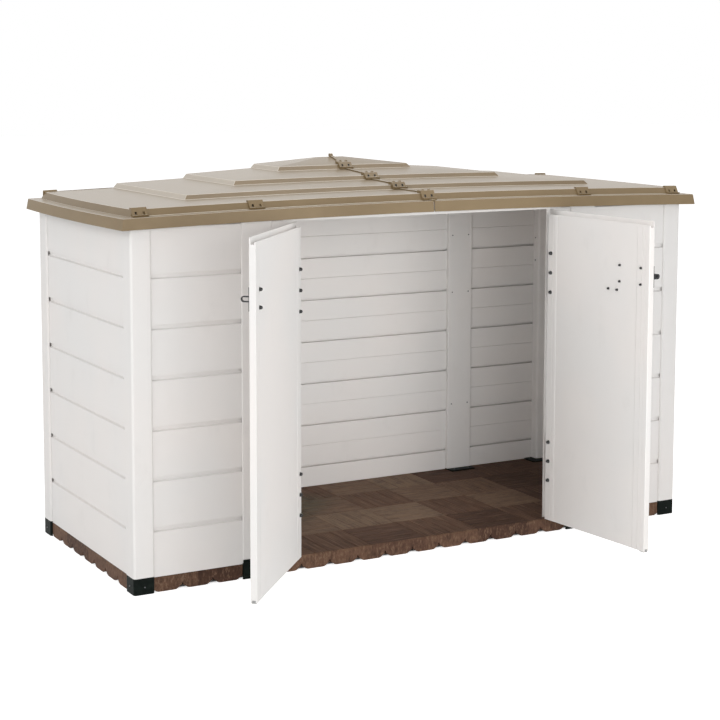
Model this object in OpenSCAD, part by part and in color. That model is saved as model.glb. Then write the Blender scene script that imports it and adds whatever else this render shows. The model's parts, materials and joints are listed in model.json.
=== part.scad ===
// Low two-door garden storage box of interlocking boards, with a stepped roof in two halves
// Millimetres. Origin: centre of the footprint on the ground. +X to the right, -Y to the front, +Z up.

/* [Footprint] */
// Width across the outer faces of the corner posts
span_w = 2000; // [1900:10:2200]
// Depth across the outer faces of the corner posts
span_d = 808; // [780:2:1000]

/* [Wall boards] */
// Height of one board, from joint to joint
board_h = 150; // [140:1:160]
// Number of boards in a wall
board_rows = 7; // [5:1:9]
// Thickness of a board
board_t = 26; // [24:1:30]
// Height of the sunk band along the top of a board
band_h = 15; // [8:1:24]
// Depth of the sunk band
band_d = 7; // [3:0.5:8]
// Width of the tongue on top of a board
tongue_w = 7; // [5:0.5:8]
// Height of the tongue
tongue_h = 9; // [6:0.5:12]
// Height of the groove half-way up the inner face
inner_groove_h = 5; // [3:0.5:8]
// Depth of that groove
inner_groove_d = 3; // [1:0.5:4]

/* [Posts] */
// Side of a corner post
corner_post_w = 66; // [60:1:80]
// How far a corner post stands out from the boards
corner_proud = 7; // [5:0.5:10]
// Radius of a corner post's upright edges
post_edge_r = 8; // [4:1:12]
// Width of an intermediate post
mid_post_w = 101; // [90:1:120]
// From the outside of a corner post to an intermediate post
mid_post_off = 353; // [300:1:400]
// How far an intermediate post stands out from the boards
mid_proud = 4; // [2:0.5:4.5]
// How far an intermediate post reaches in past the boards
mid_inner = 15; // [10:1:20]
// Depth of the slots that hold the boards' ends
slot_depth = 20; // [14:1:24]
// Clearance of a board in its slot, on each side
slot_gap = 0.3; // [0.1:0.1:0.6]
// Clearance past a board's end
end_gap = 0.8; // [0.3:0.1:0.9]
// Clearance between two boards, and between pieces that rest on each other
seat_gap = 0.2; // [0.1:0.05:0.3]
// Radius of an intermediate post's upright edges
mid_edge_r = 3; // [1:0.5:3.5]
// Clearance past a screw's shank
screw_gap = 0.1; // [0.05:0.05:0.2]
// From an intermediate post's edge to its screws
mid_screw_in = 16; // [12:1:18]
// Height of its lower screws over the ground
mid_screw_low = 294; // [250:1:340]
// Height of its middle screws
mid_screw_mid = 713; // [660:1:760]
// Height of its upper screws
mid_screw_high = 924; // [880:1:960]
// Height of a corner post's lower screw over the ground
corner_screw_low = 813; // [780:1:840]
// Height of its upper screw
corner_screw_high = 898; // [870:1:930]

/* [Feet] */
// Thickness of the plate under a post
plate_t = 4; // [3:0.5:6]
// How far a corner foot's flange reaches in past the post
flange_w = 36; // [30:1:50]
// How far an intermediate foot's rim rises in front of its post
rim_h = 10; // [6:1:16]
// Side of the peg that stands inside a corner post
peg_w = 22; // [16:1:23]
// Height of the pegs
peg_h = 30; // [20:1:60]
// Clearance of a peg in its post, on each side
peg_gap = 0.3; // [0.1:0.1:0.5]
// Length of the screws through the feet into the tiles
foot_screw_l = 16; // [12:1:20]
// From an intermediate foot's edge to the screws in its flange
foot_screw_in = 20; // [14:1:30]

/* [Floor tiles] */
// Height of a tile
tile_h = 46; // [40:1:52]
// Arches along one side of a tile
tile_arches = 4; // [3:1:5]
// Width of an arch at the ground
arch_w = 52; // [44:1:60]
// Height of an arch
arch_h = 11; // [8:1:13]
// Radius of the rounded feet on both sides of an arch
arch_shoulder_r = 22; // [20:1:24]
// Width of the slit over an arch
slit_w = 5; // [3:0.5:7]
// Height of the slit
slit_h = 8; // [5:1:10]
// Planks in each quarter of a tile
tile_planks = 4; // [3:1:5]
// Width of a groove between planks
plank_groove_w = 2.4; // [1.5:0.1:4]
// Depth of a groove between planks
plank_groove_d = 2; // [1:0.5:3]

/* [Doorway] */
// Width of the fixed strip between an intermediate post and its door
jamb_w = 65; // [60:1:80]
// How far the strip's stop reaches behind the door
stop_w = 12; // [8:1:14]
// Thickness of the stop
stop_t = 5; // [4:0.5:5.2]
// Height of the rail over the doorway
header_h = 14; // [12:1:30]
// Width of the slot at each end of the rail
header_slot_w = 38; // [30:1:50]
// Height of that slot
header_slot_h = 6; // [4:1:7]
// Height of that slot over the rail's lower edge
header_slot_up = 3; // [2:1:4]
// Depth of that slot
header_slot_d = 10; // [6:1:12]

/* [Doors] */
// Thickness of a door
door_t = 20; // [18:0.5:20.5]
// Gap between a door and the floor
door_floor_gap = 4; // [3.5:0.5:8]
// Gap between a door's outer lip and the rail above
door_top_gap = 3; // [2:0.5:10]
// How much lower than the outer lip a door's inner face ends
lip_h = 13; // [6:1:18]
// Gap between the two closed doors
meet_gap = 2; // [1:0.5:4]
// How far the left door stands open in the rest pose, in degrees
left_open = 132; // [90:1:160]
// How far the right door stands open in the rest pose, in degrees
right_open = 95; // [90:1:160]
// Width of the hinge stile
hinge_stile_w = 44; // [40:1:50]
// Width of the closing stile
lock_stile_w = 55; // [50:1:64]
// Thickness of the tongue that joins the panel to a stile
panel_tongue_t = 10; // [8:0.5:12]
// Length of that tongue
panel_tongue_l = 14; // [10:1:16]
// How much thinner than the stiles the panel is, on each face
panel_step = 0.6; // [0.3:0.1:1]
// Width of the channel in the top and bottom edges
channel_w = 11; // [8:0.5:12]
// Depth of the channel
channel_d = 7; // [4:0.5:10]
// Width of the lines along a stile
line_w = 1.6; // [1:0.1:3]
// Depth of the lines along a stile
line_d = 1; // [0.5:0.1:1.5]
// From the stile's edge to the nearest line
line_in = 18; // [12:1:22]
// Spacing of the two lines along the closing stile
line_pitch = 14; // [8:1:18]
// Height of the glide under a door's closing corner
glide_h = 3; // [2:0.5:3]

/* [Hinges] */
// Height of a hinge
hinge_h = 160; // [150:1:180]
// Height of the upper hinge's middle over the ground
upper_hinge_z = 875; // [800:1:900]
// Height of the lower hinge's middle over the ground
lower_hinge_z = 248; // [180:1:300]
// Spacing of a hinge's fasteners
hinge_pitch = 64; // [56:1:66]
// Distance of the pivot in front of the closed door
pivot_out = 7; // [6.8:0.1:9]
// Gap between the pivot's line and the door's edge
pivot_gap = 1.5; // [1:0.1:3]
// Outer radius of a knuckle
knuckle_r = 6.5; // [6:0.1:6.7]
// Radius of a hinge pin
pin_r = 4; // [3:0.1:4.5]
// Clearance of a pin in its knuckles
pin_gap = 0.05; // [0.02:0.01:0.1]
// Gap between two knuckles
knuckle_gap = 0.4; // [0.2:0.1:1]
// Thickness of the hinge plates and latch plates
leaf_t = 3; // [2:0.5:3.5]
// From the door's edge to its hinge bolts
hinge_bolt_in = 16; // [14:1:20]
// Width of the hinge plates beyond the knuckle
strap_w = 30; // [26:1:36]

/* [Fasteners] */
// Radius of a door bolt's shank
bolt_r = 3; // [2:0.1:3.5]
// Clearance round a shank
bolt_gap = 0.15; // [0.05:0.05:0.3]
// Radius of a door bolt's head
bolt_head_r = 6; // [5:0.1:7]
// Height of a door bolt's head
bolt_head_h = 3; // [2:0.5:3.5]
// Radius of the domed cap on a bolt's inner end
cap_r = 6.3; // [5.5:0.1:7]
// Height of the domed cap
cap_h = 9; // [8:0.5:12]
// Radius of the smaller caps behind the latch and the handle
small_cap_r = 4.2; // [3.8:0.1:5]
// Height of those caps
small_cap_h = 7; // [5.5:0.5:9]
// Radius of a screw's head
screw_head_r = 5; // [4:0.5:6]
// Height of a screw's head
screw_head_h = 2.4; // [1.5:0.1:3]
// Radius of a screw's shank
screw_r = 2.2; // [1.5:0.1:2.5]
// Length of a screw's shank
screw_l = 12; // [8:1:14]

/* [Latch] */
// Height of the latch's middle over the ground
latch_z = 907; // [897:1:930]
// Spacing of the latch bolts, upright
latch_pitch = 51; // [48:1:60]
// From the door's free edge to the first latch bolts
latch_first = 36; // [30:1:40]
// From the first latch bolts to the second
latch_span = 95; // [80:1:110]
// Height of the latch plates past their bolts
latch_margin = 8; // [7:0.5:12]
// Radius of the sliding rod
rod_r = 4.5; // [4:0.1:5.5]
// Clearance of the rod in its guides
rod_gap = 0.08; // [0.03:0.01:0.1]
// Height of the rod's middle over the latch plate
rod_out = 15; // [13:0.5:16]
// How far the drawn rod sticks out past the door's edge
rod_reach = 4; // [1:0.5:8]
// How far the rod slides out to lock
rod_throw = 26; // [22:1:30]
// Length of a guide along the rod
guide_l = 16; // [12:1:20]
// Wall of a guide round the rod
guide_wall = 3.5; // [3:0.5:5]
// From the door's free edge to the first guide
guide_in = 2; // [1:0.5:6]
// Radius of the rod's knob
knob_r = 5; // [4:0.5:7]
// Radius of the knob's stem
knob_stem_r = 3; // [2:0.5:4]
// Height of the knob over the rod's middle
knob_h = 14; // [12:1:20]
// Width of the keeper's loop along the rod
keeper_l = 8; // [6:1:12]
// Clearance between the rod and the keeper's loop
keeper_gap = 0.75; // [0.5:0.25:2]
// Thickness of the keeper's loop
keeper_t = 3.5; // [2.5:0.5:5]
// From the free edge to the keeper's loop
keeper_in = 9; // [7:1:12]

/* [Pull handle] */
// From the door's free edge to the handle's first bolt
pull_first = 142; // [140:1:160]
// Spacing of the handle's bolts
pull_pitch = 40; // [36:1:60]
// Height of the handle over the ground
pull_z = 854; // [800:1:862]
// Height of the handle's bar over the door
pull_out = 26; // [22:1:34]
// Thickness of the handle's bar
pull_t = 9; // [7:0.5:12]
// Radius of the collars at its feet
pull_collar_r = 7; // [6:0.5:9]

/* [Roof] */
// Overhang of the eave past the posts at the sides
roof_over = 36; // [20:1:60]
// Overhang at the front
roof_over_front = 36; // [20:1:60]
// Overhang at the back
roof_over_back = 20; // [16:1:60]
// Height of the fascia's lower edge over the ground, below the top of the walls
fascia_drop = 17; // [12:1:28]
// Height of the fascia
fascia_h = 34; // [26:1:44]
// How far the fascia leans out at its lower edge
fascia_lean = 5; // [0:0.5:6]
// Width of the flat rim round the first step
rim_w = 34; // [24:1:40]
// Number of steps
roof_steps = 4; // [2:1:5]
// Height of the first step
first_step_h = 21; // [14:1:26]
// Height of each further step
step_h = 14.5; // [10:0.5:22]
// How much the first terrace rises to the next step
terrace_rise = 1; // [0:0.5:8]
// How much more each further terrace rises
rise_gain = 5; // [0:0.5:8]
// How much the top terrace rises to the ridge
ridge_rise = 22; // [10:1:30]
// Half the length of the ridge
ridge_w = 50; // [30:5:100]
// Half the depth of the flat on the ridge
ridge_flat = 8; // [6:1:12]
// Width of a step's sloping front
step_run = 12; // [6:1:18]
// From one step's end to the next one's
step_pitch_x = 246; // [180:1:250]
// From one step's front to the next one's
step_pitch_y = 182; // [130:1:185]
// How far a step draws in at the back
step_back_in = 3; // [2:0.5:6]
// How much the roof is crowned from side to side
crown_h = 15; // [6:1:24]
// How far the ends of the eave and of the first step bow out
end_bow = 14; // [4:1:24]
// Thickness of the roof's shell
roof_t = 4; // [3:0.5:5]
// Gap between the roof's two halves
roof_joint = 3; // [1:0.5:4]
// Width of the strip over the joint
strip_w = 12; // [8:1:20]
// Height of the strip
strip_h = 4; // [3:0.5:8]
// Radius of the roll at the strip's back end
strip_end_r = 6; // [5:0.5:10]
// Width of a roof clip
clip_w = 48; // [40:1:56]
// Depth of a roof clip
clip_d = 20; // [16:1:26]
// Thickness of a roof clip
clip_t = 5; // [3:0.5:6]
// Width of the slots in a clip
clip_slot_w = 7; // [3:0.5:9]
// Height of those slots
clip_slot_h = 8; // [5:0.5:10]

/* [Hidden] */
$fn = 48;

// How far a cut runs past the face that it opens
over = 1;
mid_screw_zs = [mid_screw_low, mid_screw_mid, mid_screw_high];
corner_screw_zs = [corner_screw_low, corner_screw_high];
tile_columns = 5;
tile_rows = 2;
half_w = span_w / 2;
half_d = span_d / 2;
face_x = half_w - corner_proud;
face_y = half_d - corner_proud;
tile_w = 2 * face_x / tile_columns;
tile_d = 2 * face_y / tile_rows;
wall_top = tile_h + board_rows * board_h;
post_base = tile_h + plate_t;
board_slot = board_t + 2 * slot_gap;
tongue_at = band_d + (board_t - band_d - tongue_w) / 2;
band_slope = band_d / 2;
inner_bevel = 1;

// Places counted from the outside of a corner post
corner_slot = corner_post_w - slot_depth;
board_start = corner_slot + end_gap;
inner_face = corner_proud + board_t;
mid_far = mid_post_off + mid_post_w;
mid_depth = mid_proud + board_t + mid_inner;
mid_board_end = mid_post_off + slot_depth - end_gap;
mid_board_start = mid_far - slot_depth + end_gap;
jamb_end = mid_far + jamb_w;
stop_end = jamb_end + stop_w;
corner_peg = (corner_slot - peg_w) / 2;

// The doors, counted from their pivot
pivot_x = half_w - jamb_end - pivot_gap;
pivot_y = face_y + pivot_out;
door_w = pivot_x - pivot_gap - meet_gap / 2;
panel_w = door_w - hinge_stile_w - lock_stile_w;
door_bottom = tile_h + door_floor_gap;
header_bottom = wall_top - header_h;
door_top = header_bottom - door_top_gap;
door_inner_top = door_top - lip_h;
lip_t = (door_t - channel_w) / 2;
door_h = door_top - door_bottom;
hinge_zs = [lower_hinge_z, upper_hinge_z];
plate_y = pivot_out - leaf_t;
strap_start = knuckle_r + pivot_gap;
hinge_bolt_x = pivot_gap + hinge_bolt_in;
bracket_screw_x = strap_start + strap_w / 2;
stile_edge_r = 2;
rod_y = plate_y - rod_out;
latch_plate_h = latch_pitch + 2 * latch_margin;
latch_plate_edge = 2 * bolt_head_r;
guide_r = rod_r + guide_wall;
guide_us = [guide_in + guide_l / 2, latch_first + latch_span];
knob_u = guide_in + guide_l + knob_r + over + rod_throw;
knuckle_h = hinge_h / 3;

// The roof, as half widths at the corners and distances to the front and the back
rim_z = wall_top - fascia_drop + fascia_h;
eave_w = half_w + roof_over;
eave_front = half_d + roof_over_front;
eave_back = half_d + roof_over_back;
rim_in = fascia_lean + rim_w;
crown_parts = 16;
bow_parts = 8;
slice_h = 0.01;
strip_lead = strip_h / 2;
clip_cut_h = 3 * (first_step_h + crown_h);
// Terrace k follows step k, and terrace 0 is the rim
function rise(k) = k == 0 ? 0 : k == roof_steps ? ridge_rise : terrace_rise + (k - 1) * rise_gain;
function base_z(k) = step_z(k - 1) + rise(k - 1);
function step_z(k) = k == 0 ? rim_z : base_z(k) + (k == 1 ? first_step_h : step_h);
function step_in(k, pitch) = k == 0 ? rim_in : rim_in + step_run + (k - 1) * pitch;
function step_w(k) = eave_w - step_in(k, step_pitch_x);
function step_front(k) = eave_front - step_in(k, step_pitch_y);
function base_back(k) = step_back(k - 1) - rise(k - 1);
function step_back(k) = k == 0 ? eave_back - rim_in : base_back(k) - step_back_in;
ridge_z = base_z(roof_steps + 1);
ridge_y = (step_back(roof_steps) - step_front(roof_steps)) / 2;
function terrace_end(k) = k < roof_steps ? -step_front(k + 1) - step_run : ridge_y - ridge_flat;
function terrace_slope(k) = k == 0 ? 0 : rise(k) / (terrace_end(k) + step_front(k));
function crown(x) = crown_h * (1 - pow(x / eave_w, 2));
function crown_slope(x) = -2 * crown_h * x / pow(eave_w, 2);

white = "#e6e3de";
white_trim = "#eeece8";
black_green = "#1a221e";
black = "#1c1c1e";
tan_roof = "#b7a88c";
tile_brown = "#6b5348";
silver = "#c4c6c8";
grey = "#9a9a9a";

// Helpers

module rounded_rect(w, d, r) {
    for (x = [r, w - r], y = [r, d - r])
        translate([x, y]) circle(r);
    translate([r, 0]) square([w - 2 * r, d]);
    translate([0, r]) square([w, d - 2 * r]);
}

// Puts a front left piece, drawn from the footprint's corner, at any corner
module at_corner(side, end) {
    mirror([side > 0 ? 1 : 0, 0, 0])
        mirror([0, end > 0 ? 1 : 0, 0])
            translate([-half_w, -half_d, 0])
                children();
}

// Moves what is drawn from a door's pivot to the left or the right pivot
module at_pivot(side) {
    translate([side * pivot_x, -pivot_y, 0])
        mirror([side > 0 ? 1 : 0, 0, 0])
            children();
}

// The same, turned with the door from its closed pose to its rest pose
module on_door(side) {
    translate([side * pivot_x, -pivot_y, 0])
        rotate([0, 0, side > 0 ? right_open : -left_open])
            mirror([side > 0 ? 1 : 0, 0, 0])
                children();
}

// A round bar along +Y
module bar_y(r, length) {
    rotate([-90, 0, 0]) cylinder(r = r, h = length);
}

// Screw: the head stands on z = 0 and the shank goes down
module screw(length) {
    cylinder(r = screw_head_r, h = screw_head_h);
    translate([0, 0, -length]) cylinder(r = screw_r, h = length + over);
}

module screw_hole(length) {
    translate([0, 0, -length - screw_gap])
        cylinder(r = screw_r + screw_gap, h = length + screw_gap + over);
}

// Floor tiles

// Section of the arch between two rounded feet, with the slit over it
module arch_section() {
    difference() {
        translate([-arch_w / 2, -over]) square([arch_w, arch_h + over]);
        for (side = [-1, 1])
            translate([side * arch_w / 2, arch_shoulder_r]) circle(arch_shoulder_r);
    }
    translate([-slit_w / 2, 0]) square([slit_w, arch_h + slit_h]);
}

// Grooves between the planks of one quarter, which run along X or along Y
module plank_grooves(along_x) {
    quarter = along_x ? [tile_w / 2, tile_d / 2] : [tile_d / 2, tile_w / 2];
    for (i = [1 : tile_planks - 1])
        mirror([along_x ? 0 : 1, along_x ? 0 : -1, 0])
            translate([0, i * quarter[1] / tile_planks - plank_groove_w / 2, 0])
                cube([quarter[0], plank_groove_w, plank_groove_d + over]);
}

module floor_tile(column, row) {
    color(tile_brown)
        translate([-face_x + column * tile_w, -face_y + row * tile_d, 0])
            difference() {
                cube([tile_w, tile_d, tile_h]);
                for (i = [0 : tile_arches - 1]) {
                    translate([(i + 0.5) * tile_w / tile_arches, tile_d + over, 0])
                        rotate([90, 0, 0])
                            linear_extrude(tile_d + 2 * over) arch_section();
                    translate([-over, (i + 0.5) * tile_d / tile_arches, 0])
                        rotate([90, 0, 90])
                            linear_extrude(tile_w + 2 * over) arch_section();
                }
                translate([0, 0, tile_h - plank_groove_d]) {
                    for (i = [0 : 2]) {
                        translate([-over, i * tile_d / 2 - plank_groove_w / 2, 0])
                            cube([tile_w + 2 * over, plank_groove_w, plank_groove_d + over]);
                        translate([i * tile_w / 2 - plank_groove_w / 2, -over, 0])
                            cube([plank_groove_w, tile_d + 2 * over, plank_groove_d + over]);
                    }
                    for (i = [0, 1], j = [0, 1])
                        translate([i * tile_w / 2, j * tile_d / 2, 0])
                            plank_grooves((i + j) % 2 == 0);
                }
                translate([face_x - column * tile_w, face_y - row * tile_d, 0])
                    tile_screw_holes(column, row);
            }
}

// Holes for the screws of the feet that stand on this tile
module tile_screw_holes(column, row) {
    at_corner(column * 2 < tile_columns ? -1 : 1, row == 0 ? -1 : 1) {
        if (column == 0 || column == tile_columns - 1) {
            corner_foot_screws("skirt") screw_hole(foot_screw_l);
            corner_foot_screws("flange") screw_hole(foot_screw_l);
        }
        if (column != (tile_columns - 1) / 2) {
            mid_foot_screws("skirt") screw_hole(foot_screw_l);
            mid_foot_screws("flange") screw_hole(foot_screw_l);
        }
    }
}

// Posts

module corner_section() {
    difference() {
        rounded_rect(corner_post_w, corner_post_w, post_edge_r);
        translate([corner_slot, corner_proud - slot_gap]) square([slot_depth + over, board_slot]);
        translate([corner_proud - slot_gap, corner_slot]) square([board_slot, slot_depth + over]);
    }
}

// Places of the screws in a corner post's inner face
module corner_screw_places() {
    for (z = corner_screw_zs)
        translate([corner_post_w, corner_slot, z]) rotate([0, 90, 0]) children();
}

module corner_post(side, end) {
    color(white)
        at_corner(side, end)
            difference() {
                translate([0, 0, post_base])
                    linear_extrude(wall_top - post_base)
                        difference() {
                            corner_section();
                            translate([corner_peg - peg_gap, corner_peg - peg_gap])
                                square(peg_w + 2 * peg_gap);
                        }
                corner_screw_places() screw_hole(screw_l);
            }
}

module mid_section() {
    difference() {
        rounded_rect(mid_post_w, mid_depth, mid_edge_r);
        for (x = [-over, mid_post_w - slot_depth])
            translate([x, mid_proud - slot_gap]) square([slot_depth + over, board_slot]);
    }
}

// Places of the screws in the two inner lips of an intermediate post
module mid_screw_places() {
    for (x = [mid_screw_in, mid_post_w - mid_screw_in], z = mid_screw_zs)
        translate([mid_post_off + x, inner_face + mid_inner, z]) rotate([-90, 0, 0]) children();
}

module mid_post(side, end) {
    color(white_trim)
        at_corner(side, end)
            difference() {
                translate([mid_post_off, corner_proud - mid_proud, post_base])
                    linear_extrude(wall_top - post_base)
                        difference() {
                            mid_section();
                            translate([(mid_post_w - peg_w) / 2 - peg_gap, (mid_depth - peg_w) / 2 - peg_gap])
                                square(peg_w + 2 * peg_gap);
                        }
                mid_screw_places() screw_hole(screw_l);
            }
}

module post_screws() {
    color(silver)
        for (side = [-1, 1], end = [-1, 1])
            at_corner(side, end) {
                corner_screw_places() screw(screw_l);
                mid_screw_places() screw(screw_l);
            }
}

// Feet

// Places of the screws in a corner foot's two skirts and in its flange
module corner_foot_screws(part) {
    if (part == "skirt") {
        translate([corner_post_w / 2, 0, tile_h / 2]) rotate([90, 0, 0]) children();
        translate([0, corner_post_w / 2, tile_h / 2]) rotate([0, -90, 0]) children();
    } else {
        translate([corner_post_w + flange_w / 2, corner_post_w - flange_w / 2, post_base]) children();
        translate([corner_post_w - flange_w / 2, corner_post_w + flange_w / 2, post_base]) children();
    }
}

// Places of the screws in an intermediate foot's skirt and in its flange
module mid_foot_screws(part) {
    if (part == "skirt")
        translate([mid_post_off + mid_post_w / 2, 0, tile_h / 2]) rotate([90, 0, 0]) children();
    else
        for (x = [foot_screw_in, mid_post_w - foot_screw_in])
            translate([mid_post_off + x, inner_face + mid_inner + flange_w / 2, post_base]) children();
}

module corner_foot(side, end) {
    flange_at = inner_face + end_gap;
    color(black_green)
        at_corner(side, end)
            difference() {
                union() {
                    linear_extrude(post_base)
                        difference() {
                            rounded_rect(corner_post_w, corner_post_w, post_edge_r);
                            translate([corner_proud, corner_proud]) square(corner_post_w);
                        }
                    translate([0, 0, tile_h])
                        linear_extrude(plate_t) {
                            corner_section();
                            translate([flange_at, flange_at])
                                rounded_rect(corner_post_w + flange_w - flange_at,
                                             corner_post_w + flange_w - flange_at, post_edge_r);
                        }
                    translate([corner_peg, corner_peg, tile_h]) cube([peg_w, peg_w, plate_t + peg_h]);
                }
                corner_foot_screws("skirt") screw_hole(foot_screw_l);
                corner_foot_screws("flange") screw_hole(foot_screw_l);
            }
}

module mid_foot(side, end) {
    color(black_green)
        at_corner(side, end)
            difference() {
                union() {
                    translate([mid_post_off, 0, 0]) {
                        cube([mid_post_w, corner_proud, post_base]);
                        cube([mid_post_w, corner_proud - mid_proud - seat_gap, post_base + rim_h]);
                    }
                    translate([mid_post_off, corner_proud - mid_proud, tile_h])
                        linear_extrude(plate_t) {
                            mid_section();
                            translate([0, mid_depth - mid_inner / 2])
                                rounded_rect(mid_post_w, flange_w + mid_inner / 2, mid_edge_r);
                        }
                    translate([mid_post_off + (mid_post_w - peg_w) / 2,
                               corner_proud - mid_proud + (mid_depth - peg_w) / 2, tile_h])
                        cube([peg_w, peg_w, plate_t + peg_h]);
                }
                mid_foot_screws("skirt") screw_hole(foot_screw_l);
                mid_foot_screws("flange") screw_hole(foot_screw_l);
            }
}

module foot_screws() {
    color(silver)
        for (side = [-1, 1], end = [-1, 1])
            at_corner(side, end) {
                corner_foot_screws("skirt") screw(foot_screw_l);
                corner_foot_screws("flange") screw(foot_screw_l);
                mid_foot_screws("skirt") screw(foot_screw_l);
                mid_foot_screws("flange") screw(foot_screw_l);
            }
}

// Walls

// Section of a board: X goes in from its outer face, Y goes up
module board_section(is_top) {
    body_h = board_h - seat_gap;
    difference() {
        union() {
            polygon([
                [0, 0], [board_t - inner_bevel, 0], [board_t, inner_bevel],
                [board_t, body_h - inner_bevel], [board_t - inner_bevel, body_h],
                [band_d, body_h], [band_d, board_h - band_h + band_slope], [0, board_h - band_h]
            ]);
            if (!is_top)
                translate([tongue_at, board_h - band_h]) square([tongue_w, band_h + tongue_h]);
        }
        translate([tongue_at - slot_gap, -over])
            square([tongue_w + 2 * slot_gap, tongue_h + seat_gap + over]);
        translate([board_t - inner_groove_d, (board_h - inner_groove_h) / 2])
            square([inner_groove_d + over, inner_groove_h]);
    }
}

// A wall of boards along +X, with its outer face on y = 0
module wall(length) {
    for (row = [0 : board_rows - 1])
        translate([0, 0, tile_h + row * board_h])
            rotate([90, 0, 90])
                linear_extrude(length) board_section(row == board_rows - 1);
}

module wall_side(side) {
    color(white)
        at_corner(side, -1)
            mirror([1, -1, 0])
                translate([board_start, corner_proud, 0])
                    wall(span_d - 2 * board_start);
}

module wall_end(side, end) {
    color(white)
        at_corner(side, end)
            translate([board_start, corner_proud, 0])
                wall(mid_board_end - board_start);
}

module wall_back_centre() {
    color(white)
        at_corner(-1, 1)
            translate([mid_board_start, corner_proud, 0])
                wall(span_w - 2 * mid_board_start);
}

// Doorway

// The fixed strip beside a door, with the stop behind the door and its screw holes
module jamb(side) {
    color(white_trim)
        at_corner(side, -1)
            difference() {
                translate([0, 0, tile_h])
                    linear_extrude(header_bottom - tile_h - seat_gap)
                        difference() {
                            union() {
                                translate([mid_board_start, corner_proud])
                                    square([jamb_end - mid_board_start, board_t]);
                                translate([mid_board_start, inner_face - stop_t])
                                    square([stop_end - mid_board_start, stop_t]);
                            }
                            for (i = [1, 2])
                                translate([mid_far + i * jamb_w / 3 - line_w / 2, inner_face - line_d])
                                    square([line_w, line_d + over]);
                        }
                bracket_screw_places() screw_hole(screw_l);
            }
}

// Places of a hinge bracket's screws, counted from the footprint's corner
module bracket_screw_places() {
    for (z = hinge_zs, i = [-1 : 1])
        translate([jamb_end + pivot_gap - bracket_screw_x, corner_proud - leaf_t, z + i * hinge_pitch])
            rotate([90, 0, 0]) children();
}

module door_header() {
    color(white_trim)
        at_corner(-1, -1)
            difference() {
                translate([mid_board_start, corner_proud, header_bottom])
                    cube([span_w - 2 * mid_board_start, board_t, header_h]);
                for (x = [mid_far, span_w - mid_far - header_slot_w])
                    translate([x, corner_proud - over, header_bottom + header_slot_up])
                        cube([header_slot_w, header_slot_d + over, header_slot_h]);
            }
}

// Roof

module roof_plan(w, front, back, bow) {
    parts = bow > 0 ? bow_parts : 1;
    side = [for (i = [0 : parts])
        let (t = 2 * i / parts - 1)
            [w + bow * (1 - t * t), (back - front) / 2 + t * (front + back) / 2]];
    polygon(concat(side, [for (i = [parts : -1 : 0]) [-side[i][0], side[i][1]]]));
}

// Everything from far below up to the crowned surface at height z
module below_crown(z) {
    reach = eave_w + end_bow + over;
    top = [for (i = [0 : crown_parts])
        let (x = reach * (2 * i / crown_parts - 1)) [x, z + crown(x)]];
    rotate([90, 0, 0])
        linear_extrude(4 * eave_front, center = true)
            polygon(concat([[reach, 0], [-reach, 0]], top));
}

// A thin crowned slice of the roof at height z
module roof_slice(w, front, back, z, bow = 0) {
    difference() {
        intersection() {
            linear_extrude(2 * rim_z) roof_plan(w, front, back, bow);
            below_crown(z);
        }
        below_crown(z - slice_h);
    }
}

// The foot of step k, drawn in by t, or the ridge after the last step
module step_foot(k, t) {
    if (k <= roof_steps)
        roof_slice(step_w(k) + step_run - t, step_front(k) + step_run - t, base_back(k) - t,
                   base_z(k) - t, k == 1 ? end_bow : 0);
    else
        roof_slice(ridge_w - t, ridge_flat - ridge_y - t, ridge_flat + ridge_y - t, ridge_z - t);
}

// The roof as a full body, drawn in by t on every side: the rim, and then each step with its terrace
module roof_body(t) {
    hull() {
        roof_slice(eave_w - t, eave_front - t, eave_back - t,
                   rim_z - fascia_h - (t > 0 ? crown_h : 0), end_bow);
        roof_slice(eave_w - fascia_lean - t, eave_front - fascia_lean - t,
                   eave_back - fascia_lean - t, rim_z - t, end_bow);
    }
    for (k = [1 : roof_steps])
        hull() {
            step_foot(k, t);
            roof_slice(step_w(k) - t, step_front(k) - t, step_back(k) - t, step_z(k) - t,
                       k == 1 ? end_bow : 0);
            step_foot(k + 1, t);
        }
}

// Blocks under the roof that sit on the tops of the posts
module roof_seats(side) {
    for (end = [-1, 1])
        at_corner(side, end)
            translate([0, 0, wall_top + seat_gap]) {
                translate([corner_proud, corner_proud, 0])
                    cube([board_t, board_t, fascia_h + first_step_h]);
                translate([mid_post_off + mid_edge_r, corner_proud, 0])
                    cube([mid_post_w - 2 * mid_edge_r, board_t, fascia_h + first_step_h]);
            }
}

module roof_half(side) {
    color(tan_roof)
        difference() {
            union() {
                difference() {
                    roof_body(0);
                    roof_body(roof_t);
                    below_crown(rim_z - fascia_h);
                }
                intersection() {
                    roof_body(0);
                    roof_seats(side);
                }
            }
            translate([side > 0 ? -2 * eave_w + roof_joint / 2 : -roof_joint / 2, -2 * eave_front, 0])
                cube([2 * eave_w, 4 * eave_front, 2 * rim_z]);
        }
}

// Points of the roof's surface across step k, from the terrace before it to the terrace after it
function front_points(k, before, after) = [
    [-step_front(k) - step_run - before, base_z(k) - before * terrace_slope(k - 1)],
    [-step_front(k) - step_run, base_z(k)],
    [-step_front(k), step_z(k)],
    [-step_front(k) + after, step_z(k) + after * terrace_slope(k)]
];
function back_points(before) = [
    [step_back(0) + before, step_z(0)], [step_back(0), step_z(0)], [step_back(1), step_z(1)]
];

// A strap of thickness t along those points, w wide, pressed on the roof at x
module roof_strap(points, t, w, x, lead) {
    count = len(points);
    upper = [for (i = [count - 1 : -1 : 0]) points[i] + [lead, t]];
    translate([x, 0, step_z(0) + crown(x) + seat_gap])
        rotate([0, -atan(crown_slope(x)), 0])
            translate([-w / 2, 0, -step_z(0)])
                rotate([90, 0, 90])
                    linear_extrude(w) polygon(concat(points, upper));
}

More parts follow.
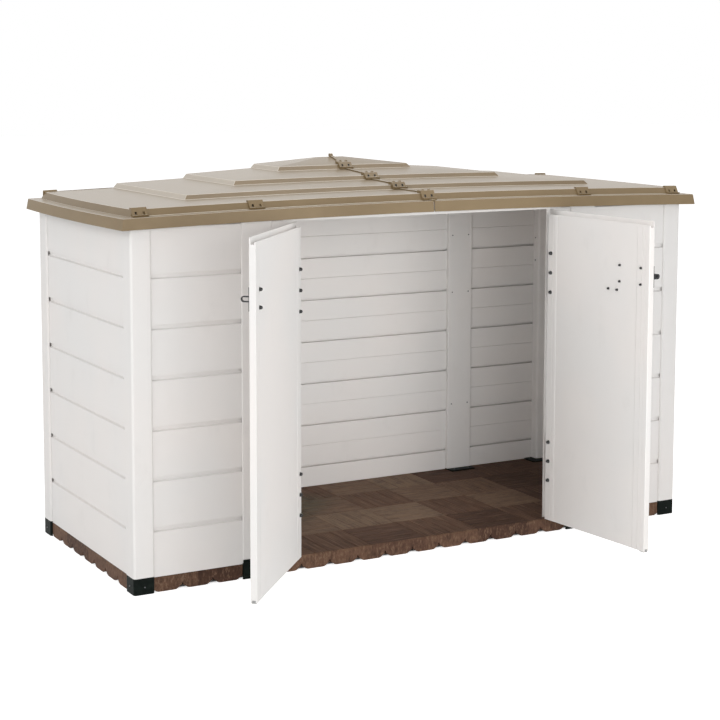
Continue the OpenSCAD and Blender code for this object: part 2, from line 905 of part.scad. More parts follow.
// Two slots for the upright part of a clip, which run along Y about the point given
module clip_slots(point) {
    for (i = [-1, 1])
        translate(point + [i * clip_w / 4 - clip_slot_w / 2, -clip_d, over])
            cube([clip_slot_w, 2 * clip_d, clip_slot_h]);
}

// A connector on the joint, over the strip's height, with its slots open to the front
module joint_clip(k) {
    difference() {
        roof_strap(front_points(k, clip_d / 2, clip_d), clip_t + strip_h, clip_w, 0, -strip_lead);
        clip_slots([0, -step_front(k) - 2 * step_run / 3 - clip_d, base_z(k) + crown_h + clip_t + strip_h]);
    }
}

module roof_joint_clips() {
    color(tan_roof)
        for (k = [1 : roof_steps]) joint_clip(k);
}

module roof_joint_strip() {
    line = concat(
        [[-eave_front + fascia_lean + over, step_z(0)]],
        [for (k = [1 : roof_steps], i = [1, 2]) front_points(k, 0, 0)[i]],
        [[ridge_y - ridge_flat, ridge_z], [ridge_y, ridge_z]]
    );
    color(tan_roof)
        difference() {
            union() {
                roof_strap(line, strip_h, strip_w, 0, -strip_lead);
                translate([-strip_w / 2, ridge_y, ridge_z + crown_h + strip_end_r])
                    rotate([0, 90, 0]) cylinder(r = strip_end_r, h = strip_w);
            }
            for (k = [1 : roof_steps])
                translate([-strip_w, -step_front(k) - step_run - clip_d / 2 - seat_gap - strip_lead,
                           step_z(k - 1)])
                    cube([2 * strip_w, step_run + 3 * clip_d / 2 + 2 * seat_gap + strip_lead, clip_cut_h]);
        }
}

// A clip over the first step, with slots right through its upright part
module roof_clip(points, x, lead) {
    difference() {
        roof_strap(points, clip_t, clip_w, x, lead);
        clip_slots([x, (points[1][0] + points[2][0]) / 2, step_z(0) + crown(x) + clip_t]);
    }
}

module roof_clips() {
    color(tan_roof)
        for (side = [-1, 1], from = [corner_post_w / 2, mid_post_off + mid_post_w / 2]) {
            roof_clip(front_points(1, clip_d / 2, clip_d / 2), side * (half_w - from), -clip_t / 2);
            roof_clip(back_points(clip_d / 2), side * (half_w - from), clip_t / 2);
        }
}

// Doors, drawn from the pivot: X to the free edge, Y into the box

// Place along the door at a distance u from its free edge
function from_edge(u) = pivot_gap + door_w - u;

module stile_section(width, lines) {
    difference() {
        rounded_rect(width, door_t, stile_edge_r);
        for (x = lines, y = [-over, door_t - line_d])
            translate([x - line_w / 2, y]) square([line_w, line_d + over]);
    }
}

module panel_tongue_slot(x) {
    translate([x, (door_t - panel_tongue_t) / 2 - slot_gap])
        square([panel_tongue_l + end_gap + over, panel_tongue_t + 2 * slot_gap]);
}

// The channels along the top and bottom edges, the step behind the outer lip, and the bolts' holes
module door_cuts(holes) {
    for (z = [door_bottom - over, door_inner_top - channel_d])
        translate([0, pivot_out + lip_t, z])
            cube([door_w + 2 * pivot_gap, channel_w, channel_d + over]);
    translate([0, pivot_out + lip_t, door_inner_top])
        cube([door_w + 2 * pivot_gap, door_t, door_top - door_inner_top + over]);
    for (hole = holes)
        translate([hole[0], pivot_out - over, hole[1]]) bar_y(bolt_r + bolt_gap, door_t + 2 * over);
}

hinge_holes = [for (z = hinge_zs, i = [-1 : 1]) [hinge_bolt_x, z + i * hinge_pitch]];
keeper_holes = [for (i = [-1, 1]) [from_edge(latch_first), latch_z + i * latch_pitch / 2]];
latch_holes = [for (u = [latch_first, latch_first + latch_span], i = [-1, 1])
    [from_edge(u), latch_z + i * latch_pitch / 2]];
pull_holes = [for (i = [0, 1]) [from_edge(pull_first + i * pull_pitch), pull_z]];

module door_stiles(side, holes) {
    color(white_trim)
        on_door(side)
            difference() {
                translate([pivot_gap, pivot_out, door_bottom])
                    linear_extrude(door_h) {
                        difference() {
                            stile_section(hinge_stile_w, [hinge_stile_w - line_in]);
                            panel_tongue_slot(hinge_stile_w - panel_tongue_l - end_gap);
                        }
                        translate([door_w - lock_stile_w, 0])
                            difference() {
                                stile_section(lock_stile_w,
                                              [lock_stile_w - line_in, lock_stile_w - line_in - line_pitch]);
                                panel_tongue_slot(-over);
                            }
                    }
                door_cuts(holes);
            }
}

module door_panel(side, holes) {
    color(white)
        on_door(side)
            difference() {
                translate([pivot_gap, pivot_out, door_bottom])
                    linear_extrude(door_h) {
                        translate([hinge_stile_w + seat_gap, panel_step])
                            square([panel_w - 2 * seat_gap, door_t - 2 * panel_step]);
                        translate([hinge_stile_w - panel_tongue_l, (door_t - panel_tongue_t) / 2])
                            square([panel_w + 2 * panel_tongue_l, panel_tongue_t]);
                    }
                door_cuts(holes);
            }
}

// The glide under the closing corner, with its plug in the channel
module door_glide(side) {
    glide_l = door_t;
    color(grey)
        on_door(side) {
            translate([from_edge(glide_l + stile_edge_r), pivot_out + stile_edge_r, door_bottom - glide_h])
                cube([glide_l, door_t - 2 * stile_edge_r, glide_h - seat_gap]);
            translate([from_edge(glide_l + stile_edge_r), pivot_out + lip_t + slot_gap,
                       door_bottom - glide_h])
                cube([glide_l, channel_w - 2 * slot_gap, glide_h + channel_d - slot_gap]);
        }
}

// Bolt through the door from y = 0, with a domed cap on the inner face
module door_bolt(grip, r, h) {
    bar_y(bolt_r, grip + over);
    translate([0, grip, 0])
        rotate([-90, 0, 0])
            rotate_extrude() {
                square([r, h - r]);
                translate([0, h - r])
                    intersection() {
                        circle(r);
                        square(r);
                    }
            }
}

// The same with its head on a plate outside
module plate_bolt(r, h) {
    translate([0, plate_y - bolt_head_h, 0]) bar_y(bolt_head_r, bolt_head_h + slice_h);
    translate([0, plate_y, 0]) door_bolt(door_t + leaf_t, r, h);
}

// A door's bolts: with large caps, with small caps, and those that end in the handle
module door_bolts(side, holes, small_holes, blind_holes) {
    color(black)
        on_door(side) {
            for (hole = holes)
                translate([hole[0], 0, hole[1]]) plate_bolt(cap_r, cap_h);
            for (hole = small_holes)
                translate([hole[0], 0, hole[1]]) plate_bolt(small_cap_r, small_cap_h);
            for (hole = blind_holes)
                translate([hole[0], pivot_out - pull_out / 2, hole[1]])
                    door_bolt(door_t + pull_out / 2, small_cap_r, small_cap_h);
        }
}

// Hinges

// The parts of a hinge plate: the plate, and a knuckle over each stretch of [low, high]
module hinge_plate(z, stretches, holes) {
    difference() {
        union() {
            translate([strap_start, plate_y, z - hinge_h / 2]) cube([strap_w, leaf_t, hinge_h]);
            for (s = stretches)
                translate([0, 0, z + s[0]]) {
                    translate([0, plate_y, 0]) cube([strap_start + over, leaf_t, s[1] - s[0]]);
                    cylinder(r = knuckle_r, h = s[1] - s[0]);
                }
        }
        translate([0, 0, z - hinge_h / 2 - over])
            cylinder(r = pin_r + pin_gap, h = hinge_h + 2 * over);
        for (hole = holes)
            translate([hole[0], plate_y - over, hole[1]]) bar_y(hole[2], leaf_t + 2 * over);
    }
}

module hinge_straps(side) {
    color(black)
        on_door(side)
            for (z = hinge_zs)
                hinge_plate(z, [[-knuckle_h / 2 + knuckle_gap, knuckle_h / 2 - knuckle_gap]],
                    [for (i = [-1 : 1]) [hinge_bolt_x, z + i * hinge_pitch, bolt_r + bolt_gap]]);
}

module hinge_brackets() {
    color(black)
        for (side = [-1, 1], z = hinge_zs)
            at_pivot(side)
                mirror([1, 0, 0])
                    hinge_plate(z, [[-hinge_h / 2, -knuckle_h / 2], [knuckle_h / 2, hinge_h / 2]],
                        [for (i = [-1 : 1]) [bracket_screw_x, z + i * hinge_pitch, screw_r + screw_gap]]);
}

module hinge_screws() {
    color(black)
        for (side = [-1, 1])
            at_corner(side, -1)
                bracket_screw_places() screw(screw_l);
}

// A pin with a head that rests on the top knuckle
module hinge_pins() {
    color(silver)
        for (side = [-1, 1], z = hinge_zs)
            at_pivot(side)
                translate([0, 0, z - hinge_h / 2]) {
                    cylinder(r = pin_r, h = hinge_h + seat_gap + over);
                    translate([0, 0, hinge_h + seat_gap]) cylinder(r = knuckle_r, h = leaf_t);
                }
}

// Latch and handle

// A plate on the door's outer face from u = low to u = high, with its bolt holes
module latch_plate(low, high, holes) {
    difference() {
        translate([from_edge(high), plate_y, latch_z - latch_plate_h / 2])
            cube([high - low, leaf_t, latch_plate_h]);
        for (hole = holes)
            translate([hole[0], plate_y - over, hole[1]]) bar_y(bolt_r + bolt_gap, leaf_t + 2 * over);
    }
}

module latch_body() {
    color(black)
        on_door(1) {
            latch_plate(guide_in, latch_first + latch_span + latch_plate_edge, latch_holes);
            for (u = guide_us)
                translate([from_edge(u) - guide_l / 2, rod_y, latch_z])
                    difference() {
                        round_block(guide_r, guide_l, rod_out + leaf_t / 2);
                        translate([-over, 0, 0])
                            rotate([0, 90, 0]) cylinder(r = rod_r + rod_gap, h = guide_l + 2 * over);
                    }
        }
}

module latch_rod() {
    tail = latch_first + latch_span + guide_l + rod_throw;
    tip = rod_r / 2;
    color(black)
        on_door(1) {
            translate([from_edge(tail), rod_y, latch_z])
                rotate([0, 90, 0]) {
                    cylinder(r = rod_r, h = tail + rod_reach - tip);
                    translate([0, 0, tail + rod_reach - tip]) cylinder(r1 = rod_r, r2 = rod_r - tip, h = tip);
                }
            translate([from_edge(knob_u), rod_y, latch_z]) {
                translate([0, -knob_h, 0]) bar_y(knob_stem_r, knob_h);
                translate([0, -knob_h, 0]) sphere(knob_r);
            }
        }
}

// A round bar along +X with a block of the same height behind it, down to the latch plate
module round_block(r, length, depth) {
    rotate([0, 90, 0]) cylinder(r = r, h = length);
    translate([0, 0, -r]) cube([length, depth, 2 * r]);
}

// The round loop on the left door that takes the rod
module left_keeper() {
    gap_r = rod_r + keeper_gap;
    color(black)
        on_door(-1) {
            latch_plate(keeper_in - keeper_t, latch_first + latch_plate_edge, keeper_holes);
            translate([from_edge(keeper_in + keeper_l), rod_y, latch_z])
                difference() {
                    round_block(gap_r + keeper_t, keeper_l, rod_out + leaf_t / 2);
                    translate([-over, 0, 0]) round_block(gap_r, keeper_l + 2 * over, rod_out);
                }
        }
}

module pull_handle() {
    color(black)
        on_door(1)
            difference() {
                union() {
                    for (hole = pull_holes)
                        translate([hole[0], 0, hole[1]]) {
                            translate([0, pivot_out - leaf_t, 0]) bar_y(pull_collar_r, leaf_t - seat_gap);
                            translate([0, pivot_out - pull_out + pull_t / 2, 0])
                                bar_y(pull_t / 2, pull_out - pull_t / 2 - seat_gap);
                            translate([0, pivot_out - pull_out + pull_t / 2, 0]) sphere(pull_t / 2);
                        }
                    translate([from_edge(pull_first + pull_pitch), pivot_out - pull_out + pull_t / 2, pull_z])
                        rotate([0, 90, 0]) cylinder(r = pull_t / 2, h = pull_pitch);
                }
                for (hole = pull_holes)
                    translate([hole[0], pivot_out - pull_out / 2 - seat_gap, hole[1]])
                        bar_y(bolt_r + bolt_gap, pull_out / 2 + over);
            }
}

floor_tile(0, 0);  // floor_tile_front_1
floor_tile(1, 0);  // floor_tile_front_2
floor_tile(2, 0);  // floor_tile_front_3
floor_tile(3, 0);  // floor_tile_front_4
floor_tile(4, 0);  // floor_tile_front_5
floor_tile(0, 1);  // floor_tile_back_1
floor_tile(1, 1);  // floor_tile_back_2
floor_tile(2, 1);  // floor_tile_back_3
floor_tile(3, 1);  // floor_tile_back_4
floor_tile(4, 1);  // floor_tile_back_5
corner_post(-1, -1);  // corner_post_front_left
corner_post(1, -1);  // corner_post_front_right
corner_post(-1, 1);  // corner_post_back_left
corner_post(1, 1);  // corner_post_back_right
mid_post(-1, -1);  // mid_post_front_left
mid_post(1, -1);  // mid_post_front_right
mid_post(-1, 1);  // mid_post_back_left
mid_post(1, 1);  // mid_post_back_right
corner_foot(-1, -1);  // corner_foot_front_left
corner_foot(1, -1);  // corner_foot_front_right
corner_foot(-1, 1);  // corner_foot_back_left
corner_foot(1, 1);  // corner_foot_back_right
mid_foot(-1, -1);  // mid_foot_front_left
mid_foot(1, -1);  // mid_foot_front_right
mid_foot(-1, 1);  // mid_foot_back_left
mid_foot(1, 1);  // mid_foot_back_right
wall_side(-1);  // wall_left
wall_side(1);  // wall_right
wall_end(-1, -1);  // wall_front_left
wall_end(1, -1);  // wall_front_right
wall_end(-1, 1);  // wall_back_left
wall_back_centre();
wall_end(1, 1);  // wall_back_right
jamb(-1);  // jamb_left
jamb(1);  // jamb_right
door_header();
roof_half(-1);  // roof_left
roof_half(1);  // roof_right
roof_joint_strip();
roof_joint_clips();
roof_clips();
post_screws();
foot_screws();
hinge_screws();
hinge_brackets();
hinge_pins();
door_panel(-1, []);  // left_door_panel
door_stiles(-1, concat(hinge_holes, keeper_holes));  // left_door_stiles
door_glide(-1);  // left_door_glide
hinge_straps(-1);  // left_hinge_straps
left_keeper();
door_bolts(-1, concat(hinge_holes, keeper_holes), [], []);  // left_door_bolts
door_panel(1, concat(latch_holes, pull_holes));  // right_door_panel
door_stiles(1, concat(hinge_holes, latch_holes));  // right_door_stiles
door_glide(1);  // right_door_glide
hinge_straps(1);  // right_hinge_straps
latch_body();
latch_rod();
pull_handle();
door_bolts(1, hinge_holes, latch_holes, pull_holes);  // right_door_bolts
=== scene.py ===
"""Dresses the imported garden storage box: rounded edges, screws, bolts, clips, finishes, lamps, camera."""
import json
import math

import bpy
from mathutils import Matrix, Vector


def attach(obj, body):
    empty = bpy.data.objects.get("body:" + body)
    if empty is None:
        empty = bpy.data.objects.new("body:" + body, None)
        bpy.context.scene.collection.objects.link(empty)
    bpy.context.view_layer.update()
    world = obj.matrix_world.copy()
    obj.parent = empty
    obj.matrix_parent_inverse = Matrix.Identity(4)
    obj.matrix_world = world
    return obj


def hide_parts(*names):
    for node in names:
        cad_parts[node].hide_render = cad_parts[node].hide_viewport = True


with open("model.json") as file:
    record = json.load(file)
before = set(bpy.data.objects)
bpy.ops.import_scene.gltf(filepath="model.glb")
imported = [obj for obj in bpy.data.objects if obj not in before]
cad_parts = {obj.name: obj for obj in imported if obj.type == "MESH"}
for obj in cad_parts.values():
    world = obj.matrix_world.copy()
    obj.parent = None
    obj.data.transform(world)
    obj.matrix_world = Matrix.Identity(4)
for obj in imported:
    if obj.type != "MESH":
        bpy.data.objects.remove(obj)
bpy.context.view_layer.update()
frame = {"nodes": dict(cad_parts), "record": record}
MM = 0.001


# Finishes

class Value:
    """A socket of a finish. Python's operators on it add Math nodes."""

    def __init__(self, finish, socket):
        self.finish = finish
        self.socket = socket

    def math(self, operation, *others):
        return self.finish.math(operation, self, *others)

    def __add__(self, other):
        return self.math("ADD", other)

    def __sub__(self, other):
        return self.math("SUBTRACT", other)

    def __rsub__(self, other):
        return self.finish.math("SUBTRACT", other, self)

    def __mul__(self, other):
        return self.math("MULTIPLY", other)

    def __truediv__(self, other):
        return self.math("DIVIDE", other)

    def __gt__(self, other):
        return self.math("GREATER_THAN", other)

    def __lt__(self, other):
        return self.math("LESS_THAN", other)

    def __mod__(self, other):
        return self.math("FLOORED_MODULO", other)

    def __floordiv__(self, other):
        return (self / other).math("FLOOR")

    def __abs__(self):
        return self.math("ABSOLUTE")

    __radd__ = __add__
    __rmul__ = __mul__


class Finish:
    """A material made of nodes. Patterns read Object coordinates, which are the part's own metres."""

    def __init__(self, name, **shader):
        self.material = bpy.data.materials.new(name)
        self.material.use_nodes = True
        self.nodes = self.material.node_tree.nodes
        self.links = self.material.node_tree.links
        self.nodes.clear()
        self.shader = self.nodes.new("ShaderNodeBsdfPrincipled")
        self.output = self.nodes.new("ShaderNodeOutputMaterial")
        self.links.new(self.shader.outputs[0], self.output.inputs["Surface"])
        self.place = self.add("ShaderNodeTexCoord", {}, {}, "Object")
        self.x, self.y, self.z = self.split(self.place)
        for socket, value in shader.items():
            self.set(socket.replace("_", " "), value)

    def add(self, kind, settings, inputs, output=0):
        """Adds a node: its settings first, then the values or links of its sockets."""
        node = self.nodes.new(kind)
        for name, value in settings.items():
            if name == "stops":
                self.fill_ramp(node.color_ramp, value)
            else:
                setattr(node, name, value)
        for socket, value in inputs.items():
            self.join(node.inputs[socket], value)
        return Value(self, node.outputs[output])

    def join(self, socket, value):
        """Links a value to a socket, or writes a plain number or colour in it."""
        if isinstance(value, Value):
            self.links.new(value.socket, socket)
        else:
            socket.default_value = value

    def set(self, socket, value):
        self.join(self.shader.inputs[socket], value)

    @staticmethod
    def fill_ramp(ramp, stops):
        while len(ramp.elements) < len(stops):
            ramp.elements.new(1.0)
        for element, (at, colour) in zip(ramp.elements, stops):
            element.position = at
            element.color = colour

    def split(self, vector):
        """The three parts of a vector."""
        node = self.nodes.new("ShaderNodeSeparateXYZ")
        self.links.new(vector.socket, node.inputs[0])
        return [Value(self, output) for output in node.outputs]

    def math(self, operation, *values):
        return self.add("ShaderNodeMath", {"operation": operation}, dict(enumerate(values)))

    def vector(self, x, y, z):
        return self.add("ShaderNodeCombineXYZ", {}, {0: x, 1: y, 2: z})

    def noise(self, at, detail=3.0, roughness=0.5):
        return self.add("ShaderNodeTexNoise", {},
                        {"Vector": at, "Scale": 1.0, "Detail": detail, "Roughness": roughness})

    def even_noise(self, scale, detail=3.0, roughness=0.5):
        """Noise with the same number of blots per metre in every direction."""
        return self.noise(self.vector(self.x * scale, self.y * scale, self.z * scale), detail, roughness)

    def speckle(self, at):
        """One value from 0 to 1 for each whole-numbered place."""
        return self.add("ShaderNodeTexWhiteNoise", {"noise_dimensions": "3D"}, {"Vector": at})

    def blend(self, share, low, high):
        """Mixes two colours."""
        return self.add("ShaderNodeMix", {"data_type": "RGBA", "clamp_factor": True},
                        {0: share, 6: low, 7: high}, 2)

    def ramp(self, value, *stops):
        return self.add("ShaderNodeValToRGB", {"stops": stops}, {0: value})

    def between(self, value, low, high):
        """0 below low, 1 above high, and smooth in between."""
        return self.add("ShaderNodeMapRange", {"interpolation_type": "SMOOTHSTEP"},
                        {0: value, 1: low, 2: high})

    def facing(self):
        """The surface's own direction, as three values."""
        return self.split(self.add("ShaderNodeTexCoord", {}, {}, "Normal"))

    def relief(self, height, depth):
        """A bump of the given depth in metres."""
        bump = self.add("ShaderNodeBump", {}, {"Height": height, "Distance": depth, "Strength": 1.0})
        self.set("Normal", bump)


def srgb(red, green, blue):
    """A colour as a screen shows it, in Blender's linear values."""
    def linear(part):
        part /= 255
        return part / 12.92 if part <= 0.04045 else ((part + 0.055) / 1.055) ** 2.4
    return (linear(red), linear(green), linear(blue), 1.0)


WHITE = srgb(228, 226, 224)
WHITE_WARM = srgb(231, 227, 224)
WHITE_SHADE = srgb(216, 213, 210)
TAN = srgb(130, 111, 81)
TAN_DARK = srgb(118, 99, 69)
# Dust and a painted sheen on the roof's faces that look up
TAN_DUST_AND_SHEEN = srgb(150, 135, 114)
# Pale tone of the painted highlight and painted light on the roof
TAN_PAINTED_LIGHT = srgb(236, 228, 216)
TILE_BROWNS = ((0.0, srgb(68, 47, 37)), (0.3, srgb(86, 62, 50)), (0.6, srgb(104, 78, 62)),
               (0.85, srgb(126, 104, 86)))
TILE_GREEN, TILE_BLOTCH = srgb(84, 82, 66), srgb(52, 38, 31)
TILE_GROOVE, TILE_CREST = srgb(40, 28, 23), srgb(148, 120, 98)
DIE_LINES, LINE_STRETCH = 420.0, 1.5       # blots per metre across and along the die lines


def white_plastic(name, along):
    """Extruded off-white plastic, with faint die lines along X and Y or along Z."""
    finish = Finish(name, Specular_IOR_Level=0.25)
    x, y, z = finish.x, finish.y, finish.z
    cloud = finish.even_noise(2.5, detail=2.0)
    if along == "up":
        run = finish.vector(x * DIE_LINES, y * DIE_LINES, z * LINE_STRETCH)
    else:
        run = finish.vector(x * LINE_STRETCH, y * LINE_STRETCH, z * DIE_LINES)
    lines = finish.noise(run, detail=2.0)
    tone = finish.blend(finish.between(cloud, 0.35, 0.65), WHITE, WHITE_WARM)
    scuffs = finish.noise(finish.vector(x * 11.0, y * 11.0, z * 6.0), detail=5.0, roughness=0.6)
    tone = finish.blend(finish.between(scuffs, 0.56, 0.80) * 0.35, tone, WHITE_SHADE)
    finish.set("Base Color", tone)
    finish.set("Roughness", 0.50 + scuffs * 0.14 + lines * 0.05)
    finish.relief(lines * 0.7 + scuffs * 0.3, 0.10 * MM)
    return finish.material


UPPER_STEPS_X = 900 * MM                   # the side risers of the upper steps are all nearer the middle
# How far a surface looks up, from 0 on a wall to 1 on a level one, where a change starts and ends
DUST_AND_SHEEN_UP = (0.75, 0.99)
GLOSSIER = (0.30, 0.80)
HIGHLIGHT_BEGINS, HIGHLIGHT_ENDS = (0.70, 0.78), (0.90, 0.955)
RISER_LOOKS_UP, RISER_LOOKS_ASIDE = (0.30, 0.42), (0.50, 0.70)


def roof_plastic():
    """Tan moulded plastic with a fine grain, paler where it faces up from dust and a painted sheen, and with
    a painted highlight along its upper edges and painted light on the short side risers of the upper steps."""
    finish = Finish("roof_tan", Specular_IOR_Level=0.5)
    side, _, up = finish.facing()
    cloud = finish.even_noise(3.0, detail=4.0, roughness=0.6)
    grain = finish.even_noise(900.0, detail=2.0)
    tone = finish.blend(finish.between(cloud, 0.30, 0.70), TAN_DARK, TAN)
    # Paler where the roof faces up: partly dust, partly a painted sheen.
    dust_and_sheen = finish.between(up, *DUST_AND_SHEEN_UP) * (0.55 + cloud * 0.5)
    tone = finish.blend(dust_and_sheen, tone, TAN_DUST_AND_SHEEN)
    # Painted highlight: a pale band on the rounded strips between risers and level faces.
    edge = finish.between(up, *HIGHLIGHT_BEGINS) * (1.0 - finish.between(up, *HIGHLIGHT_ENDS))
    # Painted light on the short side risers of the upper steps, which face aside and a little up.
    painted_lit_riser = (finish.between(abs(side), *RISER_LOOKS_ASIDE) * finish.between(up, *RISER_LOOKS_UP)
                   * (abs(finish.x) < UPPER_STEPS_X))
    # The painted highlight and the painted light on the risers, mixed, pale the roof's tone.
    painted_light = (1.0 - (1.0 - edge * 0.85) * (1.0 - painted_lit_riser * 0.48)) * (0.80 + cloud * 0.30)
    finish.set("Base Color", finish.blend(painted_light, tone, TAN_PAINTED_LIGHT))
    finish.set("Roughness", 0.46 - finish.between(up, *GLOSSIER) * 0.18 + cloud * 0.06 + grain * 0.04)
    finish.relief(grain, 0.12 * MM)
    return finish.material


TILE_QUARTER_X, TILE_QUARTER_Y = 198.6 * MM, 198.5 * MM
TILE_CORNER_X, TILE_CORNER_Y = 993 * MM, 397 * MM
GREEN_X, GREEN_Y = -300 * MM, 160 * MM     # the middle of the greener tiles
TOP_LOOKS_UP = 0.6


def tile_plastic():
    """Brown recycled plastic. Each quarter of a tile has its own tone, and grain that follows its planks."""
    finish = Finish("tile_brown", Specular_IOR_Level=0.14)
    x, y, z = finish.x, finish.y, finish.z
    column = (x + TILE_CORNER_X) // TILE_QUARTER_X
    row = (y + TILE_CORNER_Y) // TILE_QUARTER_Y
    crosswise = (column + row) % 2.0
    along = x * (1.0 - crosswise) + y * crosswise
    across = y * (1.0 - crosswise) + x * crosswise
    own = finish.speckle(finish.vector(column, row, 3.0))
    up = abs(finish.facing()[2])
    top = up > TOP_LOOKS_UP
    planks = finish.vector(along * 7.0, across * 190.0, column + row)
    grain_top = finish.noise(planks, detail=4.0, roughness=0.65)
    grain_side = finish.noise(finish.vector(x * 150.0, y * 150.0, z * 60.0), detail=5.0, roughness=0.7)
    grain = grain_top * top + grain_side * (1.0 - top)
    tone = finish.ramp(own, *TILE_BROWNS)
    away = abs(x - GREEN_X) + abs(y - GREEN_Y) + own * 0.25
    green = (1.0 - finish.between(away, 0.34, 0.52)) * top
    tone = finish.blend(green * 0.8, tone, TILE_GREEN)
    blotch = finish.even_noise(24.0, detail=5.0, roughness=0.7)
    tone = finish.blend(finish.between(blotch, 0.45, 0.75) * 0.45, tone, TILE_BLOTCH)
    groove = (1.0 - finish.between(grain, 0.34, 0.50)) * (0.45 + top * 0.20)
    tone = finish.blend(groove, tone, TILE_GROOVE)
    tone = finish.blend(finish.between(grain, 0.50, 0.68) * 0.50, tone, TILE_CREST)
    finish.set("Base Color", tone)
    finish.set("Roughness", 0.52 + grain * 0.30)
    finish.relief(grain, 0.35 * MM + top * 0.45 * MM)
    return finish.material


def black_moulding():
    """Green-black moulded plastic of the feet, worn grey in places."""
    finish = Finish("foot_black", Specular_IOR_Level=0.06)
    cloud = finish.even_noise(30.0, detail=5.0, roughness=0.6)
    grain = finish.even_noise(1100.0, detail=1.0)
    rub = finish.between(cloud, 0.45, 0.80)
    finish.set("Base Color", finish.blend(rub, srgb(12, 18, 15), srgb(27, 34, 31)))
    finish.set("Roughness", 0.42 + cloud * 0.18)
    finish.relief(grain, 0.10 * MM)
    return finish.material


def coated_steel():
    """Black powder coat with an orange-peel surface."""
    finish = Finish("fitting_black", Specular_IOR_Level=0.5, Metallic=0.0)
    peel = finish.even_noise(600.0, detail=2.0)
    rub = finish.even_noise(60.0, detail=4.0)
    bare = finish.between(rub, 0.55, 0.85)
    finish.set("Base Color", finish.blend(bare, srgb(24, 24, 26), srgb(52, 52, 54)))
    finish.set("Roughness", 0.34 + rub * 0.16)
    finish.relief(peel, 0.15 * MM)
    return finish.material


def cap_plastic():
    """Glossy black plastic of the domed caps."""
    finish = Finish("cap_black", Specular_IOR_Level=0.5)
    smear = finish.even_noise(90.0, detail=3.0)
    finish.set("Base Color", finish.blend(smear, srgb(22, 22, 23), srgb(34, 34, 36)))
    finish.set("Roughness", 0.16 + smear * 0.18)
    finish.relief(smear, 0.05 * MM)
    return finish.material


def zinc():
    """Zinc plate with a faint spangle."""
    finish = Finish("zinc_plate", Metallic=1.0)
    spangle = finish.even_noise(400.0, detail=3.0)
    finish.set("Base Color", finish.blend(spangle, srgb(84, 84, 86), srgb(128, 128, 131)))
    finish.set("Roughness", 0.22 + spangle * 0.22)
    finish.relief(spangle, 0.04 * MM)
    return finish.material


def grey_plastic():
    """Grey nylon of the glides."""
    finish = Finish("glide_grey", Specular_IOR_Level=0.4)
    cloud = finish.even_noise(120.0, detail=3.0)
    finish.set("Base Color", finish.blend(cloud, srgb(140, 140, 138), srgb(166, 166, 164)))
    finish.set("Roughness", 0.42 + cloud * 0.14)
    finish.relief(cloud, 0.06 * MM)
    return finish.material


FINISHES = {
    "board": white_plastic("board_white", "level"),
    "post": white_plastic("post_white", "up"),
    "door": white_plastic("door_white", "up"),
    "roof": roof_plastic(),
    "tile": tile_plastic(),
    "foot": black_moulding(),
    "fitting": coated_steel(),
    "cap": cap_plastic(),
    "steel": zinc(),
    "glide": grey_plastic(),
}
FINISHES["trim"] = FINISHES["post"]
SLOT_OF = {part["node"]: part["material_slot"] for part in frame["record"]["subparts"]}
BODY_OF = {node: body for body, nodes in frame["record"]["behaviour"]["bodies"].items() for node in nodes}


# Modelling

def select_only(piece):
    """Selects one piece and makes it the active one."""
    bpy.ops.object.select_all(action="DESELECT")
    piece.select_set(True)
    bpy.context.view_layer.objects.active = piece


def apply_modifiers(piece):
    select_only(piece)
    for modifier in list(piece.modifiers):
        bpy.ops.object.modifier_apply(modifier=modifier.name)


def dress(piece, slot_name, body):
    """Gives a piece its finish and lets it ride on its body."""
    piece.data.materials.clear()
    piece.data.materials.append(FINISHES[slot_name])
    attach(piece, body)


def shift(piece, corners, by):
    """Moves some corners of a piece, given by their numbers."""
    select_only(piece)
    bpy.ops.object.mode_set(mode="EDIT")
    bpy.ops.mesh.select_mode(type="VERT")
    bpy.ops.mesh.select_all(action="DESELECT")
    bpy.ops.object.mode_set(mode="OBJECT")
    for number in corners:
        piece.data.vertices[number].select = True
    bpy.ops.object.mode_set(mode="EDIT")
    bpy.ops.transform.translate(value=by)
    bpy.ops.object.mode_set(mode="OBJECT")


GROOVE_D, GROOVE_REACH = 3.0 * MM, 5.0 * MM        # its depth in the CAD, and more than half its width
GROOVE_DEEPENS, GROOVE_WIDENS = 13.0 * MM, 1.3 * MM
TOUCH = 0.3 * MM                                   # how near counts as being at a place


def deepen_grooves(wall, feet):
    """Deepens the groove half-way up each board's inner face, which shows as a dark line."""
    points = [v.co.copy() for v in wall.data.vertices]
    board = feet[1] - feet[0]
    spans = [max(p[axis] for p in points) - min(p[axis] for p in points) for axis in range(2)]
    across = spans.index(min(spans))
    outward = 1.0 if middle(points)[across] > 0 else -1.0
    inner = min(p[across] * outward for p in points)

    def over_groove(point):
        return (point.z - feet[0]) % board - board / 2

    def depth(point):
        return point[across] * outward - inner

    def at_groove(deep):
        return [number for number, p in enumerate(points)
                if abs(over_groove(p)) < GROOVE_REACH and abs(depth(p) - deep) < TOUCH]

    bottoms = at_groove(GROOVE_D)
    for side in (-1, 1):
        edges = [number for number in bottoms + at_groove(0.0) if over_groove(points[number]) * side > 0]
        shift(wall, edges, Vector((0, 0, side * GROOVE_WIDENS)))
    deeper = Vector((0, 0, 0))
    deeper[across] = outward * GROOVE_DEEPENS
    shift(wall, bottoms, deeper)


MERGE_WITHIN = 0.002 * MM
FLAT_WITHIN = math.radians(0.05)
ROUNDING_STEPS, ROUNDED_FROM = 2, math.radians(28)
SMOOTH_TO = math.radians(34)
FULLY_ROUNDED = ("roof_left", "roof_right")        # their short edges would hold the rounding back


